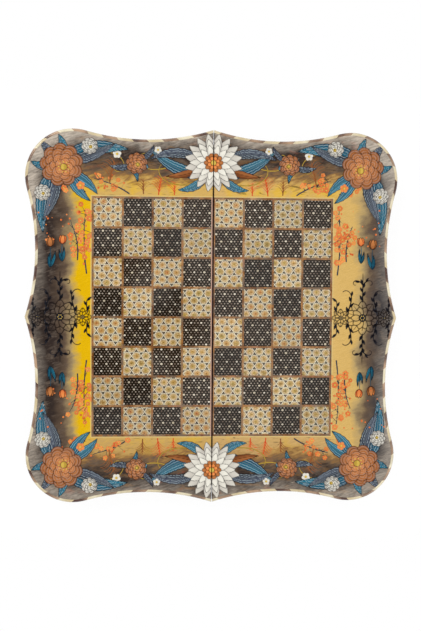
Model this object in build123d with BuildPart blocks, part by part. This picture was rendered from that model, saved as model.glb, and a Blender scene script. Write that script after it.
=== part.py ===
"""Folding chess and backgammon box, laid open flat with its chessboard up.

Two hollow trays stand mouth down and meet at a seam along Y. Two butt hinges on the seam join
their rims, and one tray swings down under the other until the rims meet. X runs to the right
across the seam, Y runs along it, and the hinge barrels touch z = 0.
"""

import os
from math import hypot, sqrt

from build123d import *

# Outline of the open board, in plan
board_half = 250.0  # from the centre to the four cusp tips
bulge_depth = 1.0  # how far the rounded corners stay inside the cusp tips
waist_offset = 90.0  # from a cusp along the side to the waist beside it
waist_depth = 14.0  # how far a waist lies inside the cusp tips
seam_gap = 1.2  # between the two halves

# Walls, panels and veneers
waist_wall = 14.0  # the scalloped walls, where they are thinnest
hinge_rail_width = 14.0
wall_height = 28.8
base_thickness = 5.0
veneer_thickness = 2.0
floor_thickness = 2.0
band_width = 4.0  # inlaid banding round the edge, in plan
band_round = 3.0  # rounding of the banding's outer top edge
rim_round = 1.5  # rounding of the rims' outer edges

# Chessboard
columns_in_half = 4
rows = 8
square_size = 36.9
strip_width = 2.8
seam_strip_width = 2.0

# Banding lozenges
pairs_in_quarter = 12
lozenge_slant = 4.0  # how far the slanted end runs along the edge across the band

# Backgammon points
points_in_end = 6
point_gap = 2.0
point_length = 165.0
point_tip = 1.2

# Butt hinges
hinge_offset = 135.0  # from the middle of the board to a hinge
barrel_radius = 2.0
closed_gap = 0.4  # between the rims when the box is shut
pin_radius = 1.0
pin_clearance = 0.06
pin_head_radius = 1.7
pin_head_length = 0.8
leaf_length = 50.0
leaf_width = 12.0
leaf_thickness = 1.2
leaf_inner = 1.3  # where a leaf starts inside the wall of its own knuckles
knuckles = 5
knuckle_gap = 0.4
barrel_clearance = 0.4

# Wood screws
screws_in_leaf = 3
screw_spacing = 18.0
screw_radius = 1.1
screw_head_radius = 2.2
screw_length = 11.0
screw_tip = 3.0
slot_width = 0.6
slot_depth = 0.4
fit_gap = 0.05  # between a fixed piece and the hole that it sits in

# Swing hooks on the outer walls
latch_height = 10.0  # height of the hook's pivot
seat_depth = 0.8  # flat seat let into the wall at the waist
seat_back = 11.0
seat_front = 25.0
seat_height = 14.5
plate_length = 18.0
plate_height = 9.0
plate_thickness = 1.0
hook_thickness = 1.2
hook_arm = 3.4
hook_eye = 3.4
hook_end = 4.2
hook_tab = 5.5
latch_clearance = 0.3
latch_neck = 1.5
latch_neck_clearance = 0.06
latch_head_radius = 3.0
latch_head_thickness = 1.0
latch_head_round = 0.45
latch_shank_radius = 1.2
latch_shank_length = 9.0

# Heights that follow
hinge_z = barrel_radius
rim_z = hinge_z + closed_gap / 2
base_z = rim_z + wall_height
floor_z = base_z - floor_thickness
veneer_z = base_z + base_thickness

# Outline arcs that follow: hollow arcs through the waists, tangent to one round arc at each corner
hollow_radius = (waist_offset**2 + waist_depth**2) / (2 * waist_depth)
hollow_centre = board_half - waist_depth + hollow_radius
bulge_half = board_half - bulge_depth
corner_reach = bulge_half + hollow_radius
corner_middle = waist_offset + hollow_centre - corner_reach
corner_root = corner_middle**2 - waist_offset**2 - hollow_centre**2 + corner_reach**2
corner_centre = corner_middle + sqrt(corner_root)
corner_radius = bulge_half - corner_centre

# Places in plan that follow
half_gap = seam_gap / 2
cavity_half = board_half - waist_depth - waist_wall
cavity_start = half_gap + hinge_rail_width
beyond = 2 * board_half  # well outside the board, for cutters
pitch = square_size + strip_width
field_start = half_gap + seam_strip_width
field_end = field_start + columns_in_half * pitch
field_half = rows * pitch / 2 + strip_width / 2
strip_left = rows * pitch / 2

halves = {"left": -1, "right": 1}
ends = {"north": 1, "south": -1}


def save(piece, name):
    """Labels a finished piece and writes its file."""
    piece.part.label = name
    export_step(piece.part, f"parts/{name}.step")


def arc_points(inset):
    """Points of one quarter's outline from the seam to the side cusp, moved inwards by inset.

    They are: the start of the hollow arc at x = 0, its waist, its meeting with the corner arc, and
    the corner arc's middle. The other half of the quarter is their mirror image in the diagonal.
    """
    hollow = hollow_radius + inset
    start = hollow_centre - sqrt(hollow**2 - waist_offset**2)
    waist = hollow_centre - hollow
    run_x = corner_centre - waist_offset
    run_y = corner_centre - hollow_centre
    share = hollow / hypot(run_x, run_y)
    meet = (waist_offset + share * run_x, hollow_centre + share * run_y)
    diagonal = corner_centre + (corner_radius - inset) / sqrt(2)
    return (0, start), (waist_offset, waist), meet, (diagonal, diagonal)


def half_outline(side, inset=0.0):
    """Draws the closed outline of one half of the board in the current line."""
    start, waist, meet, corner = arc_points(inset)
    hollow = hollow_radius + inset
    seam_y = hollow_centre - sqrt(hollow**2 - (waist_offset - half_gap) ** 2)
    for end in (1, -1):
        path = [(half_gap, seam_y), waist, meet, corner, meet[::-1], waist[::-1], start[::-1]]
        path = [(side * x, end * y) for x, y in path]
        for first in (0, 2, 4):
            ThreePointArc(*path[first : first + 3])
    Line((side * half_gap, seam_y), (side * half_gap, -seam_y))


def half_panel(side, inset, height, thickness):
    """Adds a plate of one half's outline to the current part."""
    with BuildSketch(Plane.XY.offset(height)) as plan:
        with BuildLine():
            half_outline(side, inset)
        make_face()
    extrude(plan.sketch, amount=thickness)


# Wood screw, standing on the rim plane with its head down
with BuildPart() as wood_screw:
    with BuildSketch(Plane.XZ):
        with BuildLine():
            Polyline(
                (0, 0),
                (screw_head_radius, 0),
                (screw_radius, screw_head_radius - screw_radius),
                (screw_radius, screw_length - screw_tip),
                (0, screw_length),
                close=True,
            )
        make_face()
    revolve(axis=Axis.Z)
    with BuildSketch(Plane.XY):
        Rectangle(2 * screw_head_radius, slot_width)
    extrude(amount=slot_depth, mode=Mode.SUBTRACT)

# Latch screw, along +X: its shank in the wall, its neck through the plate and its head outside
neck_length = plate_thickness + 2 * latch_clearance + hook_thickness
with BuildPart() as latch_screw:
    with BuildSketch(Plane.YZ.offset(-latch_shank_length)):
        Circle(latch_shank_radius)
    extrude(amount=latch_shank_length)
    with BuildSketch(Plane.YZ):
        Circle(latch_neck)
    extrude(amount=neck_length)
    with BuildSketch(Plane.YZ.offset(neck_length)):
        Circle(latch_head_radius)
    extrude(amount=latch_head_thickness)
    fillet(latch_screw.edges().sort_by(Axis.X)[-1], latch_head_round)
    with BuildSketch(Plane.YZ.offset(neck_length + latch_head_thickness)):
        Rectangle(2 * latch_head_radius, slot_width)
    extrude(amount=-slot_depth, mode=Mode.SUBTRACT)

seat_x = board_half - waist_depth - seat_depth
latch_reach = 2 * (latch_height - hinge_z)  # from the pivot to the stud when the box is shut
hook_x = seat_x + plate_thickness + latch_clearance
knuckle_pitch = leaf_length / knuckles
hinge_places = [end * hinge_offset for end in ends.values()]
screw_rows = [screw_spacing * (index - (screws_in_leaf - 1) / 2) for index in range(screws_in_leaf)]
screw_x = (barrel_radius + leaf_width) / 2

# One quarter of the outline, from the seam to the side cusp, for spacing the banding
with BuildLine() as quarter_edge:
    quarter_start, quarter_waist, quarter_meet, quarter_corner = arc_points(0)
    ThreePointArc(quarter_start, quarter_waist, quarter_meet)
    ThreePointArc(quarter_meet, quarter_corner, quarter_meet[::-1])
    ThreePointArc(quarter_meet[::-1], quarter_waist[::-1], quarter_start[::-1])
quarter_wire = quarter_edge.wires()[0]
lozenge_length = quarter_wire.length / (2 * pairs_in_quarter)


def edge_point(distance, outwards):
    """Point beside the outline: so far along the quarter from the seam, and so far outside it."""
    spot = quarter_wire.position_at(distance, position_mode=PositionMode.LENGTH)
    ahead = quarter_wire.tangent_at(distance, position_mode=PositionMode.LENGTH)
    return spot.X - ahead.Y * outwards, spot.Y + ahead.X * outwards


def dark_lozenges(side):
    """Draws the plan of one half's dark lozenges, wider than the band on both sides."""
    spare = band_width / 2
    lean = lozenge_slant / band_width
    for end in (1, -1):
        for pair in range(pairs_in_quarter):
            first = (2 * pair + 0.5) * lozenge_length
            last = first + lozenge_length
            corners = [
                edge_point(first + lean * (spare + band_width / 2), spare),
                edge_point(last + lean * (spare + band_width / 2), spare),
                edge_point(last - lean * (spare + band_width / 2), -band_width - spare),
                edge_point(first - lean * (spare + band_width / 2), -band_width - spare),
            ]
            Polygon(*[(side * x, end * y) for x, y in corners], align=None)


def is_light(column, row):
    """Squares alternate, and the one at the north-west corner is light."""
    return (column + row) % 2 == 0


def squares(side, light):
    """Draws one half's squares of one kind. Column 0 is the board's westmost, row 0 its northmost."""
    for step in range(columns_in_half):
        column = columns_in_half + step if side > 0 else columns_in_half - 1 - step
        for row in range(rows):
            if is_light(column, row) == light:
                x = field_start + step * pitch + square_size / 2
                y = (rows - 1) * pitch / 2 - row * pitch
                with Locations((side * x, y)):
                    Rectangle(square_size, square_size)


def points(side, light):
    """Draws one half's backgammon points of one kind, standing on the north and south walls."""
    point_pitch = (cavity_half - cavity_start) / points_in_end
    for end in (1, -1):
        for index in range(points_in_end):
            if (index + (side > 0) + (end > 0)) % 2 == light:
                middle = cavity_start + (index + 0.5) * point_pitch
                width = point_pitch - point_gap
                tip_y = cavity_half - point_length
                shape = [
                    (middle - width / 2, cavity_half),
                    (middle + width / 2, cavity_half),
                    (middle + point_tip / 2, tip_y),
                    (middle - point_tip / 2, tip_y),
                ]
                Polygon(*[(side * x, end * y) for x, y in shape], align=None)


def latch_seats(side):
    """Cuts the flat seats for the latches, and their screw holes, from the current outer rail."""
    for end in ends.values():
        inner = waist_offset - seat_front
        outer = waist_offset + seat_back
        with BuildSketch(Plane.XY.offset(rim_z)) as seat:
            with Locations((side * (seat_x + waist_wall / 2), end * (inner + outer) / 2)):
                Rectangle(waist_wall, outer - inner)
        extrude(seat.sketch, amount=seat_height, mode=Mode.SUBTRACT)
        with Locations(Location((side * seat_x, end * waist_offset, latch_height), (0, 90, 0))):
            Cylinder(
                latch_shank_radius + fit_gap, 2 * (latch_shank_length + fit_gap), mode=Mode.SUBTRACT
            )


def hinge_beds(side):
    """Cuts the leaf mortises, the barrel grooves and the screw holes from the current rail."""
    for y in hinge_places:
        with BuildSketch(Plane.XY.offset(rim_z)) as mortise:
            with Locations((side * leaf_width / 2, y)):
                Rectangle(leaf_width + 2 * fit_gap, leaf_length + 2 * fit_gap)
        extrude(mortise.sketch, amount=leaf_thickness, mode=Mode.SUBTRACT)
        with Locations(Location((0, y, hinge_z), (90, 0, 0))):
            Cylinder(
                barrel_radius + barrel_clearance,
                leaf_length + 2 * (pin_head_length + knuckle_gap + barrel_clearance),
                mode=Mode.SUBTRACT,
            )
        with Locations(*[(side * screw_x, y + row, rim_z) for row in screw_rows]):
            Cylinder(
                screw_radius + fit_gap,
                screw_length + fit_gap,
                align=(Align.CENTER, Align.CENTER, Align.MIN),
                mode=Mode.SUBTRACT,
            )


for half, side in halves.items():
    # Straight rail along the seam, which carries the hinges
    with BuildPart() as hinge_rail:
        with BuildSketch(Plane.XY.offset(rim_z)):
            with Locations((side * (half_gap + hinge_rail_width / 2), 0)):
                Rectangle(hinge_rail_width, 2 * cavity_half)
        extrude(amount=wall_height)
        hinge_beds(side)
    save(hinge_rail, f"{half}_hinge_rail")

    # Scalloped rail opposite the seam, mitred to the north and south rails
    with BuildPart() as outer_rail:
        half_panel(side, 0, rim_z, wall_height)
        with BuildSketch(Plane.XY.offset(rim_z)):
            Polygon(
                (side * cavity_half, cavity_half),
                (side * beyond, beyond),
                (side * beyond, -beyond),
                (side * cavity_half, -cavity_half),
                align=None,
            )
        extrude(amount=wall_height, mode=Mode.INTERSECT)
        rim = outer_rail.faces().sort_by(Axis.Z)[0]
        fillet(rim.edges().filter_by(GeomType.CIRCLE), rim_round)
        latch_seats(side)
    save(outer_rail, f"{half}_outer_rail")

    for end_name, end in ends.items():
        # Scalloped rail across the end of the tray
        with BuildPart() as end_rail:
            half_panel(side, 0, rim_z, wall_height)
            with BuildSketch(Plane.XY.offset(rim_z)):
                Polygon(
                    (0, end * cavity_half),
                    (side * cavity_half, end * cavity_half),
                    (side * beyond, end * beyond),
                    (0, end * beyond),
                    align=None,
                )
            extrude(amount=wall_height, mode=Mode.INTERSECT)
            rim = end_rail.faces().sort_by(Axis.Z)[0]
            fillet(rim.edges().filter_by(GeomType.CIRCLE), rim_round)
        save(end_rail, f"{half}_{end_name}_rail")

    # Panel that closes the tray and carries the chessboard
    with BuildPart() as base_panel:
        half_panel(side, band_width, base_z, base_thickness)
    save(base_panel, f"{half}_base_panel")

    # Painted sheet round three sides of the chess field
    with BuildPart() as painted_border:
        half_panel(side, band_width, veneer_z, veneer_thickness)
        with BuildSketch(Plane.XY.offset(veneer_z)):
            with Locations((side * field_end / 2, 0)):
                Rectangle(field_end, 2 * field_half)
        extrude(amount=veneer_thickness, mode=Mode.SUBTRACT)
    save(painted_border, f"{half}_painted_border")

    # Inlaid squares
    for kind, light in (("light", True), ("dark", False)):
        with BuildPart() as inlay:
            with BuildSketch(Plane.XY.offset(veneer_z)):
                squares(side, light)
            extrude(amount=veneer_thickness)
        save(inlay, f"{half}_{kind}_squares")

    # Wood strips between the rows, each in one length
    with BuildPart() as row_strips:
        with BuildSketch(Plane.XY.offset(veneer_z)):
            for index in range(rows + 1):
                with Locations((side * (half_gap + field_end) / 2, index * pitch - strip_left)):
                    Rectangle(field_end - half_gap, strip_width)
        extrude(amount=veneer_thickness)
    save(row_strips, f"{half}_row_strips")

    # Short wood strips between the squares of a row, and the narrow ones along the seam
    with BuildPart() as column_strips:
        with BuildSketch(Plane.XY.offset(veneer_z)):
            for row in range(rows):
                y = (row + 0.5) * pitch - strip_left
                with Locations((side * (half_gap + field_start) / 2, y)):
                    Rectangle(seam_strip_width, square_size)
                for step in range(1, columns_in_half + 1):
                    x = field_start + step * pitch - strip_width / 2
                    with Locations((side * x, y)):
                        Rectangle(strip_width, square_size)
        extrude(amount=veneer_thickness)
    save(column_strips, f"{half}_column_strips")

    # Edge banding before it is parted into lozenges, with its outer top edge rounded
    with BuildPart() as banding:
        half_panel(side, 0, base_z, base_thickness + veneer_thickness)
        with BuildSketch(Plane.XY.offset(base_z)):
            with BuildLine():
                half_outline(side, band_width)
            make_face()
        extrude(amount=base_thickness + veneer_thickness, mode=Mode.SUBTRACT)
        top_arcs = banding.faces().sort_by(Axis.Z)[-1].edges().filter_by(GeomType.CIRCLE)
        outer_radii = (hollow_radius, corner_radius)
        outer_arcs = [arc for arc in top_arcs if min(abs(arc.radius - r) for r in outer_radii) < 0.01]
        fillet(outer_arcs, band_round)
    for kind, mode in (("dark", Mode.INTERSECT), ("light", Mode.SUBTRACT)):
        with BuildPart() as lozenges:
            add(banding.part)
            with BuildSketch(Plane.XY.offset(base_z)):
                dark_lozenges(side)
            extrude(amount=base_thickness + veneer_thickness, mode=mode)
        save(lozenges, f"{half}_{kind}_banding")

    # Floor of the backgammon tray, cut out for its points
    with BuildPart() as playing_floor:
        with BuildSketch(Plane.XY.offset(floor_z)):
            with Locations((side * (cavity_start + cavity_half) / 2, 0)):
                Rectangle(cavity_half - cavity_start, 2 * cavity_half)
        extrude(amount=floor_thickness)
        with BuildSketch(Plane.XY.offset(floor_z)):
            points(side, True)
            points(side, False)
        extrude(amount=floor_thickness, mode=Mode.SUBTRACT)
    save(playing_floor, f"{half}_playing_floor")
    for kind, light in (("light", True), ("dark", False)):
        with BuildPart() as inlaid_points:
            with BuildSketch(Plane.XY.offset(floor_z)):
                points(side, light)
            extrude(amount=floor_thickness)
        save(inlaid_points, f"{half}_{kind}_points")

    # Countersunk screws of both hinges in this half
    with BuildPart() as hinge_screws:
        with Locations(*[(side * screw_x, y + row, rim_z) for y in hinge_places for row in screw_rows]):
            add(wood_screw.part)
    save(hinge_screws, f"{half}_hinge_screws")


for end_name, end in ends.items():
    y = end * hinge_offset
    for half, side in halves.items():
        # Leaf with its knuckles: three on the left, and the two between them on the right
        own = [index for index in range(knuckles) if (index % 2 == 0) == (side < 0)]
        other = [index for index in range(knuckles) if index not in own]
        middles = {index: y + (index - (knuckles - 1) / 2) * knuckle_pitch for index in range(knuckles)}
        with BuildPart() as leaf:
            with BuildSketch(Plane.XY.offset(rim_z)):
                with Locations((side * (leaf_inner + leaf_width) / 2, y)):
                    Rectangle(leaf_width - leaf_inner, leaf_length)
            extrude(amount=leaf_thickness)
            with Locations(*[Location((0, middles[index], hinge_z), (90, 0, 0)) for index in other]):
                Cylinder(
                    barrel_radius + barrel_clearance, knuckle_pitch + knuckle_gap, mode=Mode.SUBTRACT
                )
            with Locations(*[Location((0, middles[index], hinge_z), (90, 0, 0)) for index in own]):
                Cylinder(barrel_radius, knuckle_pitch - knuckle_gap)
            with Locations(Location((0, y, hinge_z), (90, 0, 0))):
                Cylinder(pin_radius + pin_clearance, leaf_length, mode=Mode.SUBTRACT)
            with Locations(
                *[Location((side * screw_x, y + row, rim_z), (180, 0, 0)) for row in screw_rows]
            ):
                CounterSinkHole(
                    radius=screw_radius + fit_gap,
                    counter_sink_radius=screw_head_radius + fit_gap,
                    depth=leaf_thickness,
                    counter_sink_angle=90,
                )
        save(leaf, f"{end_name}_hinge_{half}_leaf")

    # Hinge pin with a small head at each end
    with BuildPart() as hinge_pin:
        with Locations(Location((0, y, hinge_z), (90, 0, 0))):
            Cylinder(pin_radius, leaf_length + 2 * knuckle_gap)
        shoulder = leaf_length / 2 + knuckle_gap + pin_head_length / 2
        with Locations(*[Location((0, y + tip * shoulder, hinge_z), (90, 0, 0)) for tip in (1, -1)]):
            Cylinder(pin_head_radius, pin_head_length)
    save(hinge_pin, f"{end_name}_hinge_pin")

    # Plates and screws of the latch: the pivot on the left wall, the stud on the right one
    for side, plate_name, screw_name in ((-1, "hook_plate", "hook_pivot"), (1, "stud_plate", "stud")):
        spot = (side * seat_x, end * waist_offset, latch_height)
        outwards = Plane(origin=spot, x_dir=(0, 1, 0), z_dir=(side, 0, 0))
        with BuildPart() as latch_plate:
            with BuildSketch(outwards):
                SlotOverall(plate_length, plate_height)
                Circle(latch_neck + fit_gap, mode=Mode.SUBTRACT)
            extrude(amount=plate_thickness)
        save(latch_plate, f"{end_name}_{plate_name}")
        with BuildPart() as placed_screw:
            with Locations(Location(spot, (0, 0, 0 if side > 0 else 180))):
                add(latch_screw.part)
        save(placed_screw, f"{end_name}_{screw_name}")

    # Hook, stowed along the wall towards the cusp, with its notch on the side that leads
    stowed = Plane(
        origin=(-hook_x, end * waist_offset, latch_height), x_dir=(0, -end, 0), z_dir=(-1, 0, 0)
    )
    with BuildPart() as hook:
        with BuildSketch(stowed):
            Circle(hook_eye)
            with Locations((latch_reach / 2, 0)):
                Rectangle(latch_reach, hook_arm)
            with Locations((latch_reach, 0)):
                Circle(hook_end)
            with Locations((latch_reach + hook_tab / 2, end * (hook_end - hook_arm / 2))):
                SlotOverall(hook_tab + hook_arm, hook_arm)
            with Locations((latch_reach, 0)):
                Circle(latch_neck + latch_clearance, mode=Mode.SUBTRACT)
            with Locations((latch_reach, -end * hook_end / 2)):
                Rectangle(2 * (latch_neck + latch_clearance), hook_end, mode=Mode.SUBTRACT)
            Circle(latch_neck + latch_neck_clearance, mode=Mode.SUBTRACT)
        extrude(amount=hook_thickness)
    save(hook, f"{end_name}_hook")
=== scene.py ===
"""Looks of the folding chess and backgammon board: inlay, paint, lacquer, wood and brass.

The board lies open with its chessboard up. Lengths on the board are in millimetres, and meshes are
put into the scene in metres. The painted sheets are new meshes whose ornament is worked out point
by point, and every other piece is the frame's own, with a finish.
"""

from math import asin, atan2, cos, degrees, hypot, pi, radians, sin, sqrt

import bpy
import numpy as np
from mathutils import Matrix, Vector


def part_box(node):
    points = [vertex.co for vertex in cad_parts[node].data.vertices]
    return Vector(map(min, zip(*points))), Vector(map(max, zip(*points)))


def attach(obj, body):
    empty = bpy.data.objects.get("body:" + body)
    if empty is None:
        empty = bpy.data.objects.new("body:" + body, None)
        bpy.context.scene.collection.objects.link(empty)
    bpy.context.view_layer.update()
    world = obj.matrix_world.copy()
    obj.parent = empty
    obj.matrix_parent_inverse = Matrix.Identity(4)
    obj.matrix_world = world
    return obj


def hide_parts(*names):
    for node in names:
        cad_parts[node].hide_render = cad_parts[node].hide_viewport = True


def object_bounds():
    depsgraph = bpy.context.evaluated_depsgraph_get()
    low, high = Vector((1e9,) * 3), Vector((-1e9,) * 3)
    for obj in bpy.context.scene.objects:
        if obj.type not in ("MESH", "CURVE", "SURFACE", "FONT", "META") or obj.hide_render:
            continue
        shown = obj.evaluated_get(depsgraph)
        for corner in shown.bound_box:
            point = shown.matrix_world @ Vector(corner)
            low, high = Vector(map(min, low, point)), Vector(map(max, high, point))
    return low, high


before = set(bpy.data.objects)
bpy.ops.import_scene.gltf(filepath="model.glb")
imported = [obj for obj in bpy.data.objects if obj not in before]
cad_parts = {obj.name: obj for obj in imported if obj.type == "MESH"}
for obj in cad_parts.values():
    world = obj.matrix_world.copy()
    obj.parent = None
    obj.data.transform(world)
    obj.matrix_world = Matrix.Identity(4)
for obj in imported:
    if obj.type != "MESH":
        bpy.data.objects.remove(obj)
cad_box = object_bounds()

MM = 0.001
HALVES = {"left": -1, "right": 1}

# Outline of the board in plan, in millimetres, as the rails and the banding have it
BOARD_HALF = 250.0
BULGE_DEPTH = 1.0
WAIST_OFFSET = 90.0
WAIST_DEPTH = 14.0
BAND_WIDTH = 4.0
SEAM_HALF = 0.6  # from the middle of the seam to either half

# Its arcs: the hollow at each waist, and the corner that touches it
HOLLOW_RADIUS = (WAIST_OFFSET**2 + WAIST_DEPTH**2) / (2 * WAIST_DEPTH)
HOLLOW_CENTRE = BOARD_HALF - WAIST_DEPTH + HOLLOW_RADIUS
CORNER_REACH = BOARD_HALF - BULGE_DEPTH + HOLLOW_RADIUS
CORNER_MIDDLE = WAIST_OFFSET + HOLLOW_CENTRE - CORNER_REACH
CORNER_CENTRE = CORNER_MIDDLE + sqrt(
    CORNER_MIDDLE**2 - WAIST_OFFSET**2 - HOLLOW_CENTRE**2 + CORNER_REACH**2
)
CORNER_RADIUS = BOARD_HALF - BULGE_DEPTH - CORNER_CENTRE

# Chess field
SQUARES = 4  # from the seam to a side, and from the middle of the seam to an end
SQUARE_SIZE = 36.9
STRIP_WIDTH = 2.8
SEAM_STRIP_WIDTH = 2.0
PITCH = SQUARE_SIZE + STRIP_WIDTH
FIELD_START = SEAM_HALF + SEAM_STRIP_WIDTH
FIELD_END = FIELD_START + SQUARES * PITCH
FIELD_HALF = SQUARES * PITCH + STRIP_WIDTH / 2


def add_object(name, data):
    """Adds an object to the scene."""
    made = bpy.data.objects.new(name, data)
    bpy.context.scene.collection.objects.link(made)
    return made


# Camera: straight above, a little off the middle

camera_data = bpy.data.cameras.new("camera")
camera_data.sensor_fit = "VERTICAL"
camera_data.sensor_height = 36.0
camera_data.lens = 49.59
camera = add_object("camera", camera_data)
camera.rotation_mode = "ZYX"
camera.location = (-0.0677, 0.0462, 1.2)
camera.rotation_euler = [radians(angle) for angle in (-2.149, -3.189, 0.241)]
bpy.context.scene.camera = camera
bpy.context.scene.view_settings.view_transform = "Standard"


def colour(red, green, blue):
    """A linear colour from the 0 to 255 values that it shows as."""
    shares = [value / 255 for value in (red, green, blue)]
    return (*[s / 12.92 if s <= 0.04045 else ((s + 0.055) / 1.055) ** 2.4 for s in shares], 1.0)


# Shader building


class Wire:
    """A shader output whose arithmetic adds Math nodes."""

    def __init__(self, tree, socket):
        self.tree = tree
        self.socket = socket

    def math(self, operation, *others):
        """Adds a Math node on this value and the others."""
        node = self.tree.nodes.new("ShaderNodeMath")
        node.operation = operation
        for index, value in enumerate((self, *others)):
            if isinstance(value, Wire):
                self.tree.links.new(value.socket, node.inputs[index])
            else:
                node.inputs[index].default_value = value
        return Wire(self.tree, node.outputs[0])

    def __add__(self, other):
        return self.math("ADD", other)

    __radd__ = __add__

    def __mul__(self, other):
        return self.math("MULTIPLY", other)

    __rmul__ = __mul__

    def __sub__(self, other):
        return self.math("SUBTRACT", other)

    def __rsub__(self, other):
        return (self * -1.0).math("ADD", other)

    def __truediv__(self, other):
        return self.math("DIVIDE", other)

    def abs(self):
        return self.math("ABSOLUTE")

    def floor(self):
        return self.math("FLOOR")

    def round(self):
        return self.math("ROUND")

    def sin(self):
        return self.math("SINE")

    def least(self, other):
        return self.math("MINIMUM", other)

    def most(self, other):
        return self.math("MAXIMUM", other)

    def below(self, limit, soft):
        """1 where the value is under limit, 0 where it is over, over a soft edge of that width."""
        return ((limit - self) / soft + 0.5).clamp()

    def clamp(self):
        limited = self.math("ADD", 0.0)
        limited.socket.node.use_clamp = True
        return limited

    def between(self, low, high):
        """0 at low and 1 at high, straight between them."""
        return ((self - low) / (high - low)).clamp()


def set_stops(ramp, stops):
    """Gives a colour ramp its stops, each a place and a colour."""
    while len(ramp.elements) < len(stops):
        ramp.elements.new(0.5)
    for element, (place, paint) in zip(ramp.elements, stops):
        element.position = place
        element.color = paint


class Nodes:
    """A node tree, to which one method adds every node that isn't a Math node."""

    def __init__(self, tree):
        self.tree = tree

    def node(self, kind, settings=None, inputs=None, output=0):
        """Adds a node: its settings or stops first, then its sockets, each a value or a wire."""
        node = self.tree.nodes.new("ShaderNode" + kind)
        for label, value in (settings or {}).items():
            if label == "stops":
                set_stops(node.color_ramp, value)
            else:
                setattr(node, label, value)
        self.fill(node, inputs or {})
        return Wire(self.tree, node.outputs[output])

    def fill(self, node, inputs):
        """Gives a node's sockets their values or wires."""
        for label, value in inputs.items():
            if isinstance(value, Wire):
                self.tree.links.new(value.socket, node.inputs[label])
            else:
                node.inputs[label].default_value = value

    def parts(self, kind, whole):
        """The three parts of a vector or a colour."""
        node = self.node("Separate" + kind, inputs={0: whole}).socket.node
        return [Wire(self.tree, socket) for socket in node.outputs]


class Finish(Nodes):
    """One material: its principled shader, and the nodes that feed it."""

    def __init__(self, name, **sockets):
        self.material = bpy.data.materials.new(name)
        self.material.use_nodes = True
        super().__init__(self.material.node_tree)
        self.shader = self.tree.nodes["Principled BSDF"]
        self.fill(self.shader, {label.replace("_", " "): value for label, value in sockets.items()})

    def place(self):
        """The point on the board in millimetres, as three wires."""
        point = self.node("TexCoord", output="Object")
        scaled = self.node("VectorMath", {"operation": "SCALE"}, {0: point, "Scale": 1 / MM})
        return self.parts("XYZ", scaled)

    def mix(self, share, first, second):
        """Blends two colours."""
        return self.node("Mix", {"data_type": "RGBA"}, {0: share, 6: first, 7: second}, output=2)

    def over(self, paint, *coats):
        """Lays coats over a paint one after another, each a share and a colour."""
        for share, coat in coats:
            paint = self.mix(share, paint, coat)
        return paint

    def tint(self, paint, amount):
        """Makes a colour lighter or darker, where amount is 1 for no change."""
        return self.node("VectorMath", {"operation": "SCALE"}, {0: paint, "Scale": amount})

    def vector(self, x, y, z):
        """A vector of three numbers, each a value or a wire."""
        return self.node("CombineXYZ", inputs={0: x, 1: y, 2: z})

    def noise(self, x, y, z=0.0, detail=3.0, rough=0.55, warp=0.0):
        """Noise from 0 to 1 about one half, of coordinates already divided by its grain size."""
        return self.node(
            "TexNoise",
            inputs={
                "Vector": self.vector(x, y, z),
                "Scale": 1.0,
                "Detail": detail,
                "Roughness": rough,
                "Distortion": warp,
            },
        )

    def chance(self, x, y, z):
        """Three even random numbers for each whole-number place."""
        noise = self.node(
            "TexWhiteNoise", {"noise_dimensions": "3D"}, {"Vector": self.vector(x, y, z)}, output=1
        )
        return self.parts("Color", noise)

    def surface(self, paint, roughness, height, depth):
        """Feeds the shader, with bumps of height times depth in millimetres, and gives the material."""
        raised = self.node("Bump", inputs={"Strength": 1.0, "Distance": depth * MM, "Height": height})
        self.fill(self.shader, {"Base Color": paint, "Roughness": roughness, "Normal": raised})
        return self.material


LACQUER = {"Coat_Weight": 1.0, "Coat_Roughness": 0.06, "Coat_IOR": 1.45, "Specular_IOR_Level": 0.0}


# Inlay of the squares


class Lattice:
    """Triangular lattice of cells, stretched so that rows are closer or wider.

    A cell is a hexagon with a point to each side. Each of three directions, at 30, 90 and 150 degrees,
    gives a whole number, by which the cell is known, and the remainder, from -0.5 to 0.5.
    """

    def __init__(self, x, y, cell, row):
        up = y / row
        right = x / cell + up / 2
        waves = (right, up, up - right)
        self.step = sqrt(3) / 2 * cell
        self.indices = [wave.round() for wave in waves]
        self.rests = [wave - index for wave, index in zip(waves, self.indices)]

    def parity(self):
        """0 in a hexagon, 1 or -1 in the triangle above or below a crossing."""
        return self.indices[1] - self.indices[0] - self.indices[2]

    def edge(self):
        """Distance to the nearest of the lines that part the cells."""
        reach = self.rests[0].abs().most(self.rests[1].abs()).most(self.rests[2].abs())
        return (0.5 - reach) * self.step

    def radius(self):
        """Distance from the middle of the hexagon."""
        squares = [rest * rest for rest in self.rests]
        total = squares[0] + squares[1] + squares[2]
        return (total * (2 / 3)).math("SQRT") * self.step

    def star(self):
        """Half width of the six-pointed star through the point."""
        right, up, left = self.rests
        upward = up.most(right * -1.0).most(left * -1.0)
        downward = (up * -1.0).most(right).most(left)
        return upward.least(downward) * self.step

    def chances(self, finish, seed):
        """Three random numbers of the cell's own."""
        return finish.chance(self.indices[0] + 0.5, self.indices[1] + 0.5, seed)


def square_chances(finish, x, y):
    """Two sets of three random numbers of the chess square's own."""
    column = ((x.abs() - FIELD_START) / PITCH).floor() + x.math("GREATER_THAN", 0.0) * 2 * SQUARES
    row = (y / PITCH + SQUARES).floor()
    return [finish.chance(column + 0.5, row + 0.5, seed) for seed in (3.5, 9.5)]


def gloss(finish, x, y):
    """Roughness of the wood under the lacquer, which is a little uneven."""
    return finish.noise(x / 6.0, y / 6.0) * 0.3 + 0.3


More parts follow.
